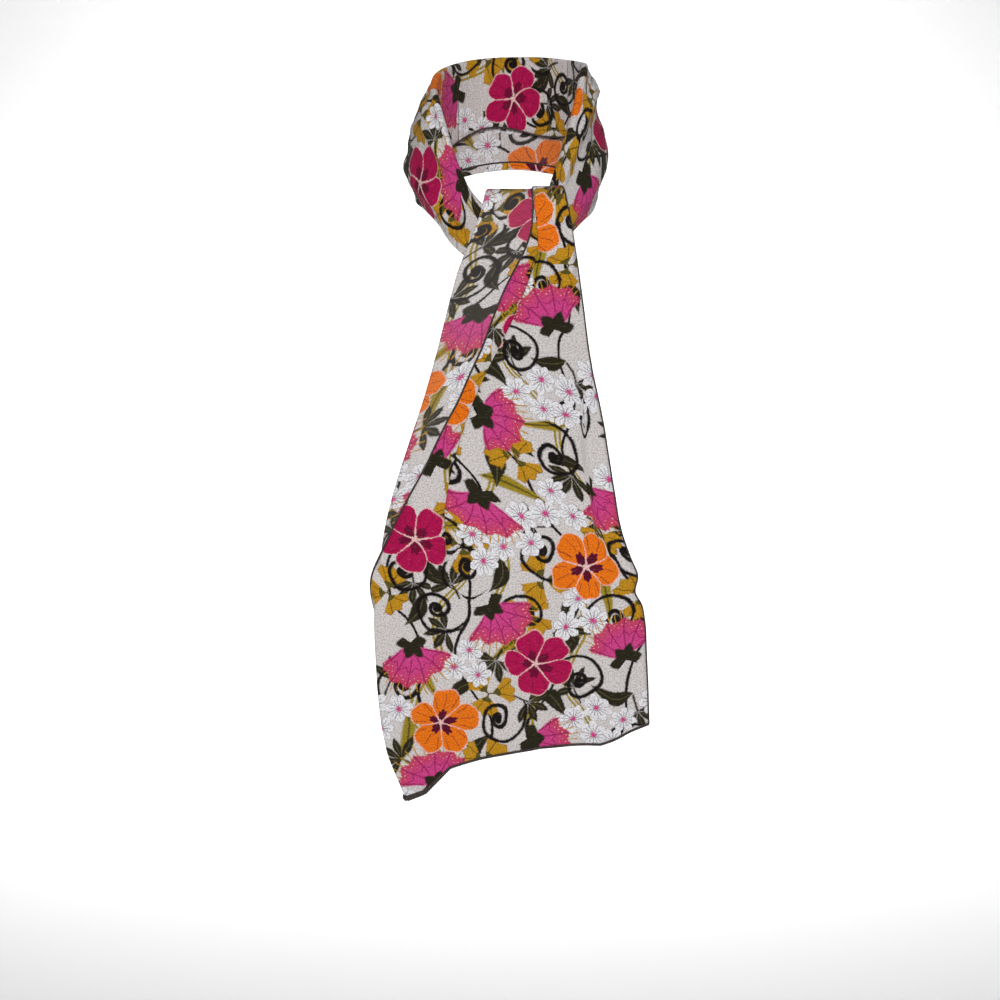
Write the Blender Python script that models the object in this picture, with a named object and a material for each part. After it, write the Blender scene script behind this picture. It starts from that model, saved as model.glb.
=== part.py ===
"""Floral printed knitted scarf, worn once round the neck.

One long strip of thin cloth.  It goes round the back of the neck, its two sides cross in
front, and the longer end passes up behind the crossing, folds over it and falls down the
chest as a fan with two lengthwise folds.  Metres, +Z up, front towards -Y, +X to the right
as seen from the front.  The origin is the middle of the empty neck hollow.
"""

import math
from collections import namedtuple

import bmesh
import bpy
import numpy as np

# Driving dimensions, in millimetres.
MM = 0.001
CLOTH = 1.2            # wall of the cloth
SEAM = 0.3             # clear gap where one stretch meets the next
NECK_RADIUS = 53.0     # radius of the hollow that the neck fills, plus a finger's ease
LAYER = 2.3            # from the middle of one layer of the fan to the middle of the next
BEND = LAYER / 2       # bend radius of a flat fold
INNER_SHARES = (0.36, 0.66)  # heights of the band's inner raw edge and of its middle
TOP_FOLD = 5.0         # width of the round fold along the band's upper edge
HEM_RADIUS = 1.5       # bend radius of the band's lower edge
TUCK = 6.0             # how far the lower edge of the band is turned up inside

LIP_Y = -69.0          # centre of the roll where the end folds over the crossing
LIP_Z = -27.0
LIP_RADIUS = 9.0
RISER_FOOT_Z = -72.0   # lowest point of the stretch behind the crossing

CLOTH_COLOUR = (0.78, 0.74, 0.75, 1.0)

# The loop: one row for each section of the strip from the turn behind the knot, across the
# front, round the left side, the nape and the right side, and down the under tail.
# x, y, z: where the section stands.  facing: the way its outer side looks, in degrees from
# the front, positive towards the left.  lean: turn of the section's height axis from
# upright towards the left.  The rest are the section's own measures, "out" across the
# cloth from its inner side and "up" along its height.
LoopRow = namedtuple(
    "LoopRow",
    "x y z facing lean inner_out top_up upper_out upper_up groove_out groove_up "
    "belly_out belly_up hem_out hem_up",
)


def round_neck(angle, inner_out, *measures):
    """Row of the loop that lies against the neck at an angle from the front."""
    turn = math.radians(angle)
    x = -NECK_RADIUS * math.sin(turn)
    y = -NECK_RADIUS * math.cos(turn)
    return LoopRow(x, y, 0.0, angle, 0.0, inner_out, *measures)


WRAP_ROWS = [
    LoopRow(26.9, -57.4, 0, -180, 0, 0.7, -57, 3.6, -59, 3.4, -67, 4.6, -76, 3.8, -88),
    LoopRow(32.5, -57.4, 0, -172, 0, 0.7, -56, 3.6, -58, 3.4, -66, 4.8, -76, 3.8, -88),
    LoopRow(37.2, -59.4, 0, -130, 0, 0.7, -55, 3.8, -57, 3.8, -66, 5.2, -76, 4.0, -89),
    LoopRow(38.8, -63.6, 0, -80, 0, 0.7, -54, 4.2, -56, 4.0, -65, 5.6, -76, 4.2, -90),
    LoopRow(36.0, -68.2, 0, -30, 0, 0.7, -52, 4.6, -54, 4.2, -64, 6.0, -76, 4.4, -91),
    LoopRow(25.0, -69.6, 0, 0, 0, 0.7, -48, 4.8, -51, 4.4, -62, 6.2, -75, 4.6, -91),
    LoopRow(6.0, -69.4, 0, 4, 0, 0.7, -43, 5.4, -46, 5.0, -58, 6.4, -72, 5.0, -88),
    LoopRow(-11.0, -61.5, 0, 18, 0, 1.4, -34, 7.0, -38, 8.0, -50, 14.0, -64, 13.0, -78),
]

NECK_ROWS = [
    round_neck(30, 3.0, -19, 9, -22, 13, -33, 27, -49, 26, -61),
    round_neck(45, 2.4, 4, 11, -2, 14, -14, 26, -31, 23, -44),
    round_neck(60, 2.2, 30, 13, 20, 15, 6, 26, -17, 21, -35),
    round_neck(75, 2.2, 49, 14, 38, 18, 20, 27.5, -7, 20, -32),
    round_neck(90, 2.2, 58, 13, 47, 20, 27, 28, -5, 18, -31),
    round_neck(110, 2.2, 66, 12, 54, 17, 33, 25, -2, 15, -27),
    round_neck(135, 2.2, 71, 11, 60, 12, 38, 20, 5, 12, -20),
    round_neck(160, 2.2, 74, 10, 63, 10, 40, 17, 8, 10, -15),
    round_neck(185, 2.2, 75, 10, 63, 9.5, 38, 16, 10, 10, -13),
    round_neck(210, 2.2, 75, 11, 63, 10.5, 40, 16.5, 9, 10, -15),
    round_neck(235, 2.2, 74, 12, 63, 12, 43, 18, 7, 11, -19),
    round_neck(255, 2.2, 73.5, 13, 61, 13.5, 43, 21, 5, 12, -24),
    round_neck(270, 2.2, 73, 14.5, 57, 14, 39, 23, 5, 15, -28),
    round_neck(285, 2.4, 67, 13.5, 50, 12.5, 33, 23.5, 0, 16, -32),
    round_neck(300, 3.0, 44, 13, 32, 13, 16, 24, -10, 20, -37),
    round_neck(315, 3.4, 14, 13, 6, 14, -7, 27, -26, 25, -42),
    round_neck(327, 4.0, -12, 15, -16, 19, -25, 32, -38, 32, -49),
]

UNDER_ROWS = [
    round_neck(327, 19.5, -24, 24.0, -26, 24.0, -34, 26.0, -41, 24.5, -48.5),
    LoopRow(34.0, -61.8, -36, 352, 8, 0.7, 13, 4.4, 11, 4.2, 3, 5.6, -6, 4.4, -14),
    LoopRow(27.0, -61.8, -43, 360, 24, 0.7, 14, 4.4, 12, 4.2, 3, 5.6, -7, 4.4, -15),
    LoopRow(19.0, -61.8, -60, 360, 50, 0.7, 16, 4.4, 14, 4.2, 4, 5.6, -8, 4.4, -17),
    LoopRow(13.5, -61.8, -80, 360, 72, 0.7, 18, 4.4, 16, 4.2, 4, 5.6, -8, 4.4, -18),
    LoopRow(11.0, -64.5, -101, 360, 86, 0.7, 22, 4.2, 20, 4.0, 5, 5.0, -9, 4.2, -21),
    LoopRow(9.0, -80.5, -128, 360, 90, 0.7, 33, 3.8, 31, 3.8, 8, 4.4, -14, 3.8, -32),
    LoopRow(8.0, -97.0, -160, 360, 90, 0.7, 43, 3.6, 41, 3.6, 10, 4.0, -18, 3.6, -42),
    LoopRow(6.0, -109.5, -205, 360, 90, 0.7, 47, 3.4, 45, 3.6, 12, 3.8, -20, 3.4, -46),
    LoopRow(5.0, -120.5, -260, 360, 90, 0.7, 48, 3.4, 46, 3.6, 12, 3.6, -20, 3.4, -47),
    LoopRow(5.0, -122.0, -325, 360, 90, 0.7, 48, 3.4, 46, 3.6, 12, 3.6, -20, 3.4, -47),
    LoopRow(5.0, -120.0, -392, 360, 90, 0.7, 48, 3.4, 46, 3.6, 12, 3.6, -20, 3.4, -47),
]

BAND_ROWS = WRAP_ROWS + NECK_ROWS
# The stretches of the band, each from one place in its rows to the next.
BAND_NAMES = ["wrap", "neck_left", "neck_back", "neck_right"]
BAND_PARTINGS = [0, len(WRAP_ROWS), len(WRAP_ROWS) + 6, len(WRAP_ROWS) + 10, len(BAND_ROWS) - 1]
STEPS_PER_ROW = 2

# The front tail: one row for each section from the foot of the riser, over the lip and
# down to the hem.  side: -1 behind the crossing, 0 on top of the lip, 1 in front.
# left: the left fold.  flap, curl: length of the raw-edged flap folded over to the front,
# and how far it is turned.  panel: the soft fold edge of the right panel.  tuck, turn:
# length and turning of the layer hidden under that edge.  right: the right raw edge.
# bow: how far the middle stands in front of the edges.  slant: share of the hem's slope.
TailRow = namedtuple("TailRow", "side z left flap curl panel tuck turn right bow slant")

TAIL_ROWS = [
    TailRow(-1, RISER_FOOT_Z, -2, 10.5, 180, 11, 10, 180, 26.4, 0, 0),
    TailRow(-1, -50, -4, 13, 180, 12, 11, 180, 26.4, 0, 0),
    TailRow(-1, -35, -7, 17.5, 180, 13, 11, 180, 27, 0, 0),
    TailRow(-1, LIP_Z, -11, 23.5, 180, 15, 12, 180, 29, 0, 0),
    TailRow(0, LIP_Z, -17, 32.5, 180, 18, 17, 180, 39.5, 0, 0),
    TailRow(1, LIP_Z, -19.5, 36, 180, 19, 19, 180, 43.4, 0, 0),
    TailRow(1, -45, -25.5, 41, 180, 21.3, 20, 180, 46.9, 1, 0),
    TailRow(1, -60, -32, 42.5, 180, 22, 21, 180, 49.2, 1.5, 0),
    TailRow(1, -75, -38, 40.5, 180, 17.8, 24, 180, 51.5, 2, 0),
    TailRow(1, -90, -42.3, 37, 180, 12, 25, 180, 53.5, 2.5, 0),
    TailRow(1, -110, -47.4, 34, 180, 4, 24, 180, 56.2, 3.5, 0),
    TailRow(1, -130, -52.6, 32, 180, -6.5, 22, 180, 58.6, 4.5, 0.02),
    TailRow(1, -150, -58.4, 28, 180, -17, 20, 180, 62, 5.5, 0.05),
    TailRow(1, -170, -65, 25.5, 180, -26.5, 17, 180, 66.6, 6.5, 0.1),
    TailRow(1, -190, -72.6, 21, 180, -34.5, 14, 180, 70.6, 7.5, 0.15),
    TailRow(1, -210, -80.2, 17.5, 180, -40.5, 10.5, 180, 73.6, 8, 0.2),
    TailRow(1, -230, -87, 11, 180, -45.5, 7, 178, 76.6, 8, 0.27),
    TailRow(1, -245, -91.4, 6, 176, -49, 4.6, 160, 79, 7.5, 0.33),
    TailRow(1, -257, -94, 4.4, 130, -51.5, 3.6, 115, 80.6, 7, 0.38),
    TailRow(1, -269, -95.6, 4, 70, -53.5, 3.2, 70, 83, 6.5, 0.43),
    TailRow(1, -282, -96.6, 4, 25, -55, 3, 35, 86.6, 6, 0.5),
    TailRow(1, -297, -97, 4, 0, -56, 3, 18, 91.4, 5, 0.57),
    TailRow(1, -311, -96.6, 4, 0, -56, 3, 8, 97, 4, 0.65),
    TailRow(1, -323, -96, 4, 0, -56, 3, 0, 92.4, 3.5, 0.7),
    TailRow(1, -335, -95.4, 4, 0, -56, 3, 0, 99.4, 3, 0.75),
    TailRow(1, -355, -94.4, 4, 0, -56, 3, 0, 102, 2, 0.85),
    TailRow(1, -380, -92, 4, 0, -56, 3, 0, 103, 1, 0.92),
    TailRow(1, -405, -87, 4, 0, -54, 3, 0, 104.4, 0, 0.97),
    TailRow(1, -437, -76, 4, 0, -50, 3, 0, 105.6, 0, 1),
]

# Side view of the innermost layer in front of the crossing: height and depth.
FALL_HEIGHTS = [-440, -400, -350, -300, -250, -200, -150, -100, -60, -40, LIP_Z]
FALL_DEPTHS = [-126, -128, -130.5, -131, -128, -118.5, -104.5, -89.5, -81, -78.6,
               LIP_Y - LIP_RADIUS]
# The hem's slope: how far it rises above its middle, across the tail.
HEM_ACROSS = [-77, -64, -45, -20, 5, 24, 69, 92, 106]
HEM_RISE = [-35, -30, -12, -4.5, 1.5, 5, 6.5, 17.5, 23]
# Soft flutes of the lower tail: place across, width, depth at the hem.
Flute = namedtuple("Flute", "across width depth")
FLUTES = [Flute(-70, 16, 2.4), Flute(-28, 20, -2.2), Flute(14, 22, 2.6), Flute(52, 15, -2.4),
          Flute(80, 9, 3.4)]


def smooth_through(rows, places):
    """Catmull-Rom curve through evenly numbered rows, read at fractional row places."""
    rows = np.asarray(rows, dtype=float)
    padded = np.vstack([2 * rows[0] - rows[1], rows, 2 * rows[-1] - rows[-2]])
    places = np.clip(np.asarray(places, dtype=float), 0, len(rows) - 1)
    start = np.minimum(places.astype(int), len(rows) - 2)
    t = (places - start)[:, None]
    before, here, after, beyond = (padded[start + k] for k in range(4))
    return 0.5 * (
        2 * here
        + (after - before) * t
        + (2 * before - 5 * here + 4 * after - beyond) * t**2
        + (3 * here - before - 3 * after + beyond) * t**3
    )


def wall_outline(line):
    """Closed outline of a cloth wall, half its thickness to each side of an open line."""
    along = np.diff(line, axis=0)
    along /= np.linalg.norm(along, axis=1)[:, None]
    sides = np.column_stack([-along[:, 1], along[:, 0]])
    sides = np.vstack([sides[:1], sides, sides[-1:]])
    bisector = sides[:-1] + sides[1:]
    bisector /= np.linalg.norm(bisector, axis=1)[:, None]
    stretch = np.minimum(1 / np.maximum((bisector * sides[1:]).sum(axis=1), 0.5), 1.25)
    offset = bisector * stretch[:, None] * CLOTH / 2
    return np.vstack([line + offset, (line - offset)[::-1]])


def outer_line(points):
    """Smooth line down the band's outer side, through its points and upright at both ends,
    with two places read between each pair of points."""
    points = np.array(points)
    gaps = np.linalg.norm(np.diff(points, axis=0), axis=1)[:, None]
    ways = np.diff(points, axis=0) / gaps
    inner_ways = (ways[:-1] * gaps[1:] + ways[1:] * gaps[:-1]) / (gaps[:-1] + gaps[1:])
    ways = np.vstack([(0.0, -1.0), inner_ways, (0.0, -1.0)])
    places = np.arange(0.5, len(points) - 1, 0.5)
    start = places.astype(int)
    t = (places - start)[:, None]
    return (
        (2 * t**3 - 3 * t**2 + 1) * points[start]
        + (t**3 - 2 * t**2 + t) * gaps[start] * ways[start]
        + (3 * t**2 - 2 * t**3) * points[start + 1]
        + (t**3 - t**2) * gaps[start] * ways[start + 1]
    )


def band_section(row):
    """Open line of the folded band, in (out, up): up its inner side, over the top fold,
    down the outer rolls and the groove between them, round the lower edge and up to the
    tucked raw edge."""
    height = row.top_up - row.hem_up
    top_radius = 0.5 * min(row.upper_out - row.inner_out, TOP_FOLD)
    top_centre = (row.inner_out + top_radius, row.top_up - top_radius)
    hem_centre = (row.hem_out - HEM_RADIUS, row.hem_up + HEM_RADIUS)
    half_turn = np.radians(np.linspace(180, 0, 5))
    half_circle = np.column_stack([np.cos(half_turn), np.sin(half_turn)])
    top_fold = top_centre + top_radius * half_circle
    hem_fold = hem_centre - HEM_RADIUS * half_circle
    upper_up = min(row.upper_up, top_fold[-1, 1] - 1.0)
    outer = outer_line([
        top_fold[-1],
        (row.upper_out, upper_up),
        (row.groove_out, row.groove_up),
        (row.belly_out, row.belly_up),
        hem_fold[0],
    ])
    inner = [(row.inner_out, row.hem_up + share * height) for share in INNER_SHARES]
    tuck = [(hem_fold[-1, 0], row.hem_up + TUCK)]
    return np.vstack([inner, top_fold, outer, hem_fold, tuck])


def in_space(row, outline):
    """Place an (out, up) outline in the world by a loop row's position and turns."""
    facing = math.radians(row.facing)
    lean = math.radians(row.lean)
    out = np.array([-math.sin(facing), -math.cos(facing), 0.0])
    across = np.array([-math.cos(facing), math.sin(facing), 0.0])
    up = math.cos(lean) * np.array([0.0, 0.0, 1.0]) + math.sin(lean) * across
    origin = np.array([row.x, row.y, row.z])
    return origin + outline[:, :1] * out + outline[:, 1:] * up


def parted_places(rows, first, last, parted):
    """Places of the sections of one stretch of rows, with its end places drawn in by half
    a seam where "parted" says that another stretch meets it."""
    places = np.linspace(first, last, STEPS_PER_ROW * (last - first) + 1)
    for end, inward in ((0, 1), (-1, -1)):
        if not parted[end]:
            continue
        nearby = smooth_through(rows, [places[end], places[end] + inward * 0.05])[:, :3]
        speed = np.linalg.norm(nearby[1] - nearby[0]) / 0.05
        places[end] += inward * SEAM / 2 / speed
    return places


def stretch_rings(rows, first, last, parted):
    """Wall outlines of one stretch of rows, placed in space."""
    between = smooth_through(rows, parted_places(rows, first, last, parted))
    sections = [LoopRow(*values) for values in between]
    return [in_space(row, wall_outline(band_section(row))) for row in sections]


def tail_path():
    """Side view (y, z) of the tail's innermost layer, with its outward direction and the
    side and height that its table rows are looked up by."""
    riser_z = np.array([RISER_FOOT_Z, -50.0, -35.0])
    riser = np.column_stack([np.full(3, LIP_Y + LIP_RADIUS), riser_z])
    turn = np.radians(np.linspace(0, 180, 8))
    lip = np.column_stack([LIP_Y + LIP_RADIUS * np.cos(turn), LIP_Z + LIP_RADIUS * np.sin(turn)])
    fall_z = np.array([row.z for row in TAIL_ROWS if row.side == 1][1:], dtype=float)
    fall = np.column_stack([np.interp(fall_z, FALL_HEIGHTS, FALL_DEPTHS), fall_z])
    points = np.vstack([riser, lip, fall])
    ahead = np.gradient(points, axis=0)
    ahead /= np.linalg.norm(ahead, axis=1)[:, None]
    outward = np.column_stack([ahead[:, 1], -ahead[:, 0]])
    lip_place = np.linspace(3, 5, 8)
    places = np.concatenate([[0, 1, 2], lip_place, np.arange(6, 6 + len(fall))])
    return points, outward, places


def bend(turn, count=4):
    """Points of a bend that starts at the origin along +across and turns outward.  Below a
    right angle its length stays, so that a fold opens into a gentle curve."""
    length = BEND * max(turn, math.pi / 2)
    shares = np.linspace(0, 1, count)
    if turn < 0.01:
        return np.column_stack([length * shares, np.zeros(count)])
    radius = length / turn
    return radius * np.column_stack([np.sin(turn * shares), 1 - np.cos(turn * shares)])


def tail_section(row):
    """Open line across the tail, in (across, out): flap, left fold, base layer, hidden
    tuck and right panel."""
    curl = math.radians(row.curl)
    curve = bend(curl)[::-1] * (-1, 1) + (row.left + BEND, 0)
    flap_way = np.array([-math.cos(curl), math.sin(curl)])
    flap = curve[0] + flap_way * np.linspace(row.flap, 0, 6)[:-1, None]

    turn = math.radians(row.turn)
    hinge = row.panel + row.tuck + BEND
    base = np.linspace((row.left + BEND, 0), (hinge, 0), 9)[1:-1]
    first_bend = bend(turn) + (hinge, 0)
    tuck_end = first_bend[-1] + row.tuck * np.array([math.cos(turn), math.sin(turn)])
    tuck = 0.5 * (first_bend[-1] + tuck_end)[None, :]
    second_bend = tuck_end + first_bend[-1] - first_bend[::-1]
    start = second_bend[-1]
    share = np.linspace(0, 1, 9)[1:]
    across = start[0] + share * (row.right - start[0])
    level = start[0] + row.tuck + 4.0
    ease = np.clip((across - level) / max(row.right - level, 1.0), 0, 1)
    ease = ease * ease * (3 - 2 * ease)
    panel = np.column_stack([across, start[1] * (1 - 0.8 * ease)])
    return np.vstack([flap, curve, base, first_bend, tuck, second_bend, panel])


def tail_rings():
    """Wall outlines of the front tail, placed in space."""
    points, outward, places = tail_path()
    rings = []
    for place, point, way in zip(places, points, outward):
        row = TailRow(*(np.interp(place, np.arange(len(TAIL_ROWS)), column)
                        for column in zip(*TAIL_ROWS)))
        outline = wall_outline(tail_section(row))
        across = outline[:, 0]
        middle = 0.5 * (row.left + row.right)
        half = 0.5 * (row.right - row.left)
        relief = row.bow * (1 - ((across - middle) / half) ** 2)
        for flute in FLUTES:
            relief += row.slant * flute.depth * np.exp(-(((across - flute.across) / flute.width) ** 2))
        out = outline[:, 1] + relief
        rise = row.slant * np.interp(across, HEM_ACROSS, HEM_RISE)
        rings.append(np.column_stack([
            across,
            point[0] + way[0] * out,
            point[1] + way[1] * out + rise,
        ]))
    return rings


def make_cloth(name):
    """Matt cotton-like cloth material of one stretch."""
    material = bpy.data.materials.new(name)
    material.use_nodes = True
    shader = material.node_tree.nodes["Principled BSDF"]
    shader.inputs["Base Color"].default_value = CLOTH_COLOUR
    shader.inputs["Roughness"].default_value = 0.9
    shader.inputs["Metallic"].default_value = 0.0
    return material


def loft(name, rings):
    """Closed solid through wall outlines: a skin between neighbours and a strip of faces
    across each end."""
    around = len(rings[0])
    half = around // 2
    mesh = bmesh.new()
    loops = [[mesh.verts.new(point * MM) for point in ring] for ring in rings]
    for near, far in zip(loops, loops[1:]):
        for k in range(around):
            nxt = (k + 1) % around
            mesh.faces.new((near[k], near[nxt], far[nxt], far[k]))
    for ring in (loops[0], loops[-1]):
        for k in range(half - 1):
            opposite = around - 1 - k
            mesh.faces.new((ring[k], ring[k + 1], ring[opposite - 1], ring[opposite]))
    bmesh.ops.triangulate(mesh, faces=mesh.faces[:])
    bmesh.ops.recalc_face_normals(mesh, faces=mesh.faces[:])
    data = bpy.data.meshes.new(name)
    mesh.to_mesh(data)
    mesh.free()
    data.shade_smooth()
    data.materials.append(make_cloth(name))
    solid = bpy.data.objects.new(name, data)
    bpy.context.scene.collection.objects.link(solid)
    return solid


for old in list(bpy.data.objects):
    bpy.data.objects.remove(old, do_unlink=True)

for name, first, last in zip(BAND_NAMES, BAND_PARTINGS, BAND_PARTINGS[1:]):
    loft(name, stretch_rings(BAND_ROWS, first, last, parted=(first > 0, True)))
loft("under_tail", stretch_rings(UNDER_ROWS, 0, len(UNDER_ROWS) - 1, parted=(True, False)))
loft("front_tail", tail_rings())
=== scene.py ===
"""Floral printed knitted scarf, worn once round the neck: the cloth, its print and its edging."""

import math
from collections import namedtuple

import bpy
import numpy as np
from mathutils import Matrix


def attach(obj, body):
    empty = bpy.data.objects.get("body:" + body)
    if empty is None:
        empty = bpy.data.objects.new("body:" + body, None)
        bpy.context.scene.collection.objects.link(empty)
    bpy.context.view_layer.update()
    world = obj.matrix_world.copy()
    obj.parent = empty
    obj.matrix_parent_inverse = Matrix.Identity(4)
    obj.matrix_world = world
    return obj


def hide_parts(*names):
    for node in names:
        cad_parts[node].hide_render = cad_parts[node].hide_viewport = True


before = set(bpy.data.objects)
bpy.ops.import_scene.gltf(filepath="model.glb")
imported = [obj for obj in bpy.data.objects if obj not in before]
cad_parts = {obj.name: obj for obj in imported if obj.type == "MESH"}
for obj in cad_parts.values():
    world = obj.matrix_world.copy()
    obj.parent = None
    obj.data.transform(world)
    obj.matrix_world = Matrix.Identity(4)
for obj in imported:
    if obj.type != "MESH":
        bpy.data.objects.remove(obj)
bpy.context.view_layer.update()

# Studio.  A pale floor that curves up into a backdrop well behind the scarf, a soft light just
# above the camera, a weak one overhead and one that lights the backdrop alone.  The camera
# looks down a little, as the photograph does.
FLOOR_Z = -0.80
SWEEP_RADIUS = 0.9
BACKDROP_Y = 1.9
BACKDROP_TOP_Z = 0.9
BACKDROP_HALF_WIDTH = 1.5
BACKDROP_PALE = (0.95, 0.95, 0.95, 1.0)
ROOM_STRENGTH = 0.12   # even light from all round
CAMERA_PITCH = 11.735  # degrees below level


def backdrop_sheet():
    """Profile of floor, quarter circle and wall, carried straight along X."""
    turn = np.radians(np.linspace(0, 90, 24))
    curve_y = BACKDROP_Y - SWEEP_RADIUS + SWEEP_RADIUS * np.sin(turn)
    curve_z = FLOOR_Z + SWEEP_RADIUS * (1 - np.cos(turn))
    profile_y = np.concatenate([[-4.0], curve_y, [BACKDROP_Y]])
    profile_z = np.concatenate([[FLOOR_Z], curve_z, [BACKDROP_TOP_Z]])
    along_x = np.array([-BACKDROP_HALF_WIDTH, BACKDROP_HALF_WIDTH])
    x, y = np.meshgrid(along_x, profile_y)
    z = np.broadcast_to(profile_z[:, None], x.shape)
    points = np.stack([x, y, z], axis=-1).reshape(-1, 3)
    low = np.arange(0, len(points) - 2, 2)
    faces = np.column_stack([low, low + 1, low + 3, low + 2])
    mesh = bpy.data.meshes.new("backdrop")
    mesh.from_pydata(points, [], faces)
    mesh.shade_smooth()
    return mesh


def backdrop_paint():
    """Matt pale paint."""
    material = bpy.data.materials.new("backdrop_paint")
    material.use_nodes = True
    shader = material.node_tree.nodes["Principled BSDF"]
    shader.inputs["Base Color"].default_value = BACKDROP_PALE
    shader.inputs["Roughness"].default_value = 0.9
    return material


backdrop = bpy.data.objects.new("backdrop", backdrop_sheet())
backdrop.data.materials.append(backdrop_paint())
bpy.context.scene.collection.objects.link(backdrop)

# aim: the point a lamp looks at.  spread: how wide its light opens, in degrees.
Lamp = namedtuple("Lamp", "name place aim size spread watts")
LAMPS = [
    Lamp("front_softbox", (-0.03, -2.25, 0.45), (0.0, 0.0, -0.18), 0.28, 180, 34.0),
    Lamp("top_softbox", (0.3, -0.9, 1.8), (0.0, 0.0, -0.1), 0.8, 180, 2.5),
    Lamp("backdrop_light", (0.0, 1.0, 1.7), (0.0, 1.5, -0.7), 1.2, 75, 17.0),
]
for lamp in LAMPS:
    light = bpy.data.lights.new(lamp.name, "AREA")
    light.size = lamp.size
    light.spread = math.radians(lamp.spread)
    light.energy = lamp.watts
    holder = bpy.data.objects.new(lamp.name, light)
    way = np.subtract(lamp.aim, lamp.place)
    holder.location = lamp.place
    holder.rotation_euler = (
        math.atan2(math.hypot(way[0], way[1]), -way[2]),
        0.0,
        math.atan2(-way[0], way[1]),
    )
    bpy.context.scene.collection.objects.link(holder)

world = bpy.data.worlds.new("studio_air")
world.use_nodes = True
world.node_tree.nodes["Background"].inputs["Color"].default_value = (1.0, 1.0, 1.0, 1.0)
world.node_tree.nodes["Background"].inputs["Strength"].default_value = ROOM_STRENGTH
bpy.context.scene.world = world
bpy.context.scene.view_settings.view_transform = "Standard"

camera = bpy.data.objects.new("camera", bpy.data.cameras.new("camera"))
camera.data.lens = 104.897
camera.data.sensor_width = 36.0
camera.location = (-0.0069, -2.25, 0.20)
camera.rotation_euler = (math.radians(90 - CAMERA_PITCH), 0.0, 0.0)
bpy.context.scene.collection.objects.link(camera)
bpy.context.scene.camera = camera

# Neck band.  The strip is folded lengthwise into a soft roll: up its inner side, over a round
# top fold, down the outer rolls and the groove between them, and turned up inside at the
# lower edge.  It goes round the back of the neck, and nothing fastens it.
MM = 0.001
CLOTH = 0.8            # thickness of the knit
NECK_RADIUS = 53.0     # radius of the hollow that the neck fills
INNER_SHARE = 0.36     # height of the band's inner raw edge
EDGE_SWAY = 0.035      # how far that edge sways up and down, as a share of the height
EDGE_SWAY_STEP = 0.16  # turn of the sway from one section to the next, in radians
TOP_FOLD = 5.0         # width of the round fold along the band's upper edge
HEM_RADIUS = 1.5       # bend radius of the band's lower edge
TUCK = 6.0             # how far the lower edge of the band is turned up inside
STATIONS_PER_ROW = 11  # sections of the band from one row to the next
FACE_MIDDLE = 100.0    # place across the print that lies on the middle of what shows

# x, y, z: where the section stands.  facing: the way its outer side looks, in degrees from
# the front, positive towards the left.  lean: turn of the section's height axis from upright
# towards the left.  The rest are the section's own measures, "out" across the cloth from its
# inner side and "up" along its height.
LoopRow = namedtuple(
    "LoopRow",
    "x y z facing lean inner_out top_up upper_out upper_up groove_out groove_up "
    "belly_out belly_up hem_out hem_up",
)


def round_neck(angle, inner_out, *measures):
    """Row of the loop that lies against the neck at an angle from the front."""
    turn = math.radians(angle)
    x = -NECK_RADIUS * math.sin(turn)
    y = -NECK_RADIUS * math.cos(turn)
    return LoopRow(x, y, 0.0, angle, 0.0, inner_out, *measures)


WRAP_ROWS = [
    LoopRow(26.9, -57.4, 0, -180, 0, 0.7, -57, 3.6, -59, 3.4, -67, 4.6, -76, 3.8, -88),
    LoopRow(32.5, -57.4, 0, -172, 0, 0.7, -56, 3.6, -58, 3.4, -66, 4.8, -76, 3.8, -88),
    LoopRow(37.2, -59.4, 0, -130, 0, 0.7, -55, 3.8, -57, 3.8, -66, 5.2, -76, 4.0, -89),
    LoopRow(38.8, -63.6, 0, -80, 0, 0.7, -54, 4.2, -56, 4.0, -65, 5.6, -76, 4.2, -90),
    LoopRow(36.0, -68.2, 0, -30, 0, 0.7, -52, 4.6, -54, 4.2, -64, 6.0, -76, 4.4, -91),
    LoopRow(25.0, -69.6, 0, 0, 0, 0.7, -48, 4.8, -51, 4.4, -62, 6.2, -75, 4.6, -91),
    LoopRow(6.0, -69.4, 0, 4, 0, 0.7, -43, 5.4, -46, 5.0, -58, 6.4, -72, 5.0, -88),
    LoopRow(-11.0, -61.5, 0, 18, 0, 1.4, -34, 7.0, -38, 8.0, -50, 14.0, -64, 13.0, -78),
]
NECK_ROWS = [
    round_neck(30, 3.0, -19, 9, -22, 13, -33, 27, -49, 26, -61),
    round_neck(45, 2.4, 4, 11, -2, 14, -14, 26, -31, 23, -44),
    round_neck(60, 2.2, 30, 13, 20, 15, 6, 26, -17, 21, -35),
    round_neck(75, 2.2, 49, 14, 38, 18, 20, 27.5, -7, 20, -32),
    round_neck(90, 2.2, 58, 13, 47, 20, 27, 28, -5, 18, -31),
    round_neck(110, 2.2, 66, 12, 54, 17, 33, 25, -2, 15, -27),
    round_neck(135, 2.2, 71, 11, 60, 12, 38, 20, 5, 12, -20),
    round_neck(160, 2.2, 74, 10, 63, 10, 40, 17, 8, 10, -15),
    round_neck(185, 2.2, 75, 10, 63, 9.5, 38, 16, 10, 10, -13),
    round_neck(210, 2.2, 75, 11, 63, 10.5, 40, 16.5, 9, 10, -15),
    round_neck(235, 2.2, 74, 12, 63, 12, 43, 18, 7, 11, -19),
    round_neck(255, 2.2, 73.5, 13, 61, 13.5, 43, 21, 5, 12, -24),
    round_neck(270, 2.2, 73, 14.5, 57, 14, 39, 23, 5, 15, -28),
    round_neck(285, 2.4, 67, 13.5, 50, 12.5, 33, 23.5, 0, 16, -32),
    round_neck(300, 3.0, 44, 13, 32, 13, 16, 24, -10, 20, -37),
    round_neck(315, 3.4, 14, 13, 6, 14, -7, 27, -26, 25, -42),
    round_neck(327, 4.0, -12, 15, -16, 19, -25, 32, -38, 32, -49),
]
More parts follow.
